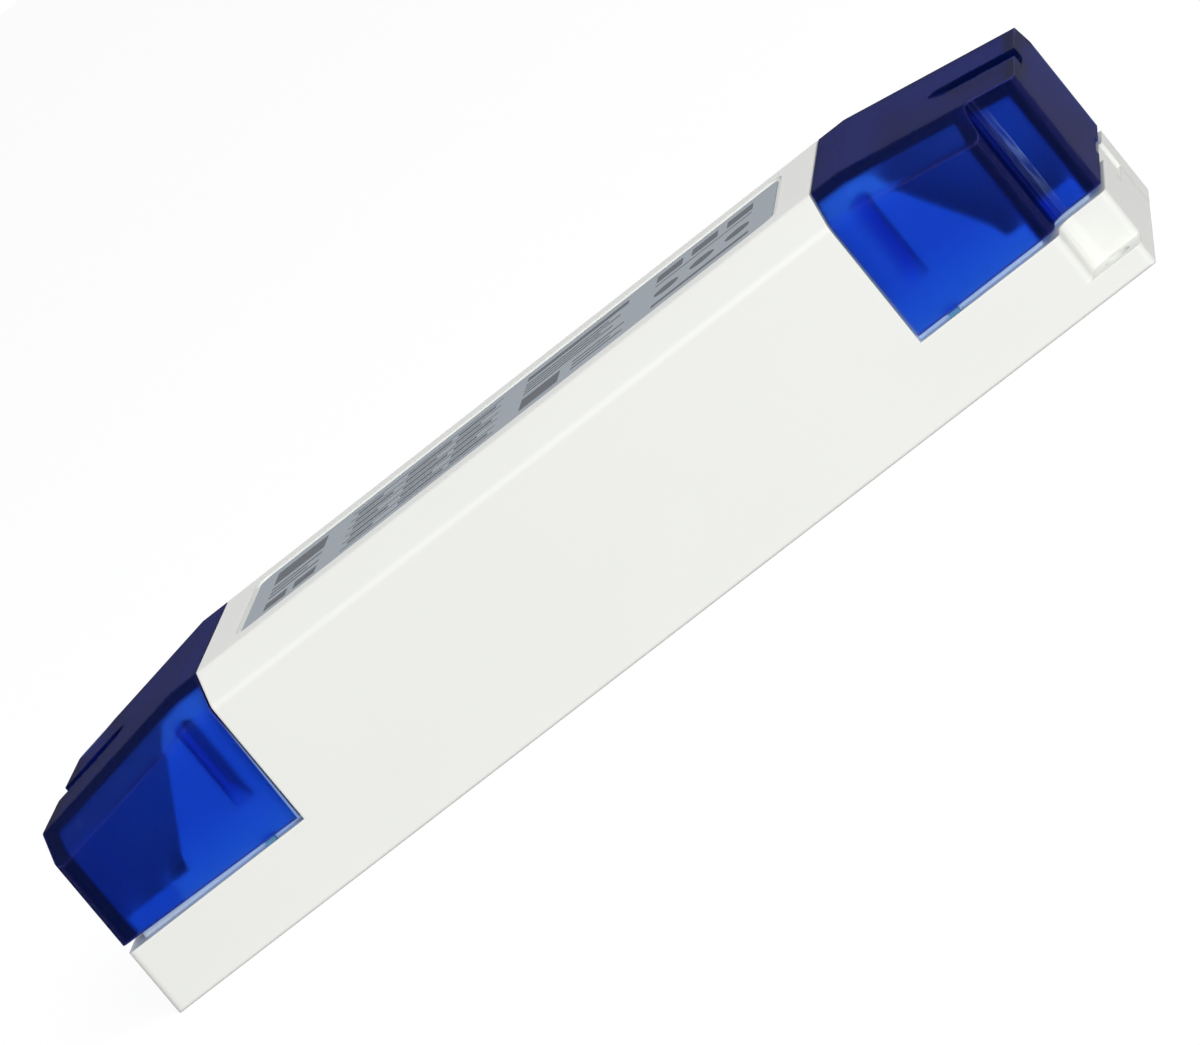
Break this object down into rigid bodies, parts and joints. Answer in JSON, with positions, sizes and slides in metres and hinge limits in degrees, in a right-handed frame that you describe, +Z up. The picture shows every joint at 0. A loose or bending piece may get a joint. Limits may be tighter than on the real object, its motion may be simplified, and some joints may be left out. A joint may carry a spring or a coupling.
{
  "type": "led driver",
  "caption": "Slim white plastic LED driver with a chamfered top, clip-on see-through blue terminal covers and fixing tabs at opposite corners.",
  "frame": {"origin": "middle of the footprint, at the underside", "axes": "+X along the length towards the output end, +Z up from the base"},
  "size_m": [0.15, 0.0466, 0.031],
  "materials": {
    "white_plastic": "moulded, satin",
    "blue_plastic": "see-through, satin outside",
    "silver_film": "silver-grey film",
    "green_laminate": "glass-fibre board",
    "grey_plastic": "moulded",
    "plated_screws": "zinc plated",
    "black_plastic": "moulding compound",
    "blue_lacquer": "dipped coating",
    "yellow_plastic": "plastic and tape",
    "ferrite": "sintered",
    "copper_wire": "enamelled",
    "can_sleeve": "shrink sleeve",
    "plate_aluminium": "rolled plate"
  },
  "bodies": {
    "root": {"housing": "white_plastic", "bottom_plate": "white_plastic", "cable_clamp_left": "white_plastic", "cable_clamp_right": "white_plastic", "optocoupler": "white_plastic", "terminal_cover_left": "blue_plastic", "terminal_cover_right": "blue_plastic", "rating_label": "silver_film", "circuit_board": "green_laminate", "input_terminal": "grey_plastic", "output_terminal": "grey_plastic", "base_screws": "plated_screws", "terminal_screws": "plated_screws", "clamp_screws": "plated_screws", "transistor_screws": "plated_screws", "fuse": "black_plastic", "bridge_rectifier": "black_plastic", "switching_transistor": "black_plastic", "output_diode": "black_plastic", "controller_chip": "black_plastic", "transformer_bobbin": "black_plastic", "varistor": "blue_lacquer", "safety_capacitor": "blue_lacquer", "x_capacitor": "yellow_plastic", "transformer_winding": "yellow_plastic", "emi_choke_core": "ferrite", "transformer_core": "ferrite", "output_choke": "ferrite", "emi_choke_winding": "copper_wire", "bulk_capacitor": "can_sleeve", "output_capacitors": "can_sleeve", "primary_heatsink": "plate_aluminium", "output_heatsink": "plate_aluminium"}
  },
  "joints": []
}
